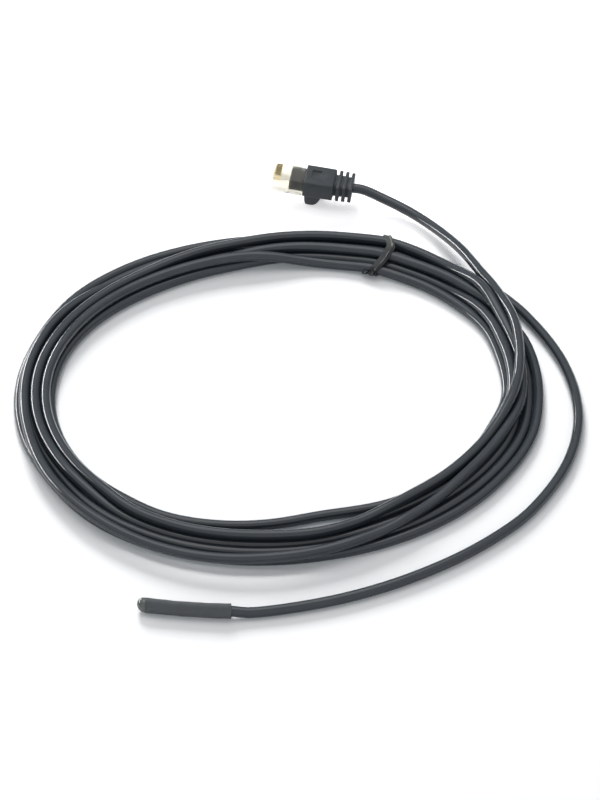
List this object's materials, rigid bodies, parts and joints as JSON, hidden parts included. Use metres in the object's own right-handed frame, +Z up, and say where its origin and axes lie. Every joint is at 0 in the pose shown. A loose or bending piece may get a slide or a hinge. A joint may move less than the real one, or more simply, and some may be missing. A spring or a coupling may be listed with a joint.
{
  "type": "rack temperature sensor",
  "caption": "Thin black thermistor probe on a long round lead wound into a tied coil, ending in a clear modular plug with a ribbed black boot.",
  "frame": {"origin": "on the floor, under the middle of the probe", "axes": "+X along the probe from its tip to its lead, +Y from the probe towards the coil and the plug, +Z up from the floor"},
  "size_m": [0.1997, 0.248, 0.0126],
  "materials": {
    "cable_jacket": "satin",
    "heat_shrink": "matte",
    "potting_resin": "gloss",
    "bead_coating": "satin",
    "tinned_wire": "satin",
    "splice_tubing": "matte",
    "ivory_insulation": "satin",
    "white_insulation": "satin",
    "tie_ribbon": "satin",
    "moulded_boot": "satin",
    "clear_plug": "gloss",
    "gold_plating": "polished"
  },
  "bodies": {
    "root": {"probe_sleeve": "heat_shrink", "tip_seal": "potting_resin", "thermistor_bead": "bead_coating", "bead_lead_a": "tinned_wire", "bead_lead_b": "tinned_wire", "splice_sleeve_a": "splice_tubing", "splice_sleeve_b": "splice_tubing", "probe_core_a": "ivory_insulation", "probe_core_b": "white_insulation", "probe_lead": "cable_jacket", "cable_coil": "cable_jacket", "plug_lead": "cable_jacket", "twist_tie": "tie_ribbon", "boot": "moulded_boot", "plug_body": "clear_plug", "contact_1": "gold_plating", "contact_2": "gold_plating", "contact_3": "gold_plating", "contact_4": "gold_plating", "contact_5": "gold_plating", "contact_6": "gold_plating", "contact_7": "gold_plating", "contact_8": "gold_plating", "plug_core_a": "ivory_insulation", "plug_core_b": "white_insulation"}
  },
  "joints": []
}
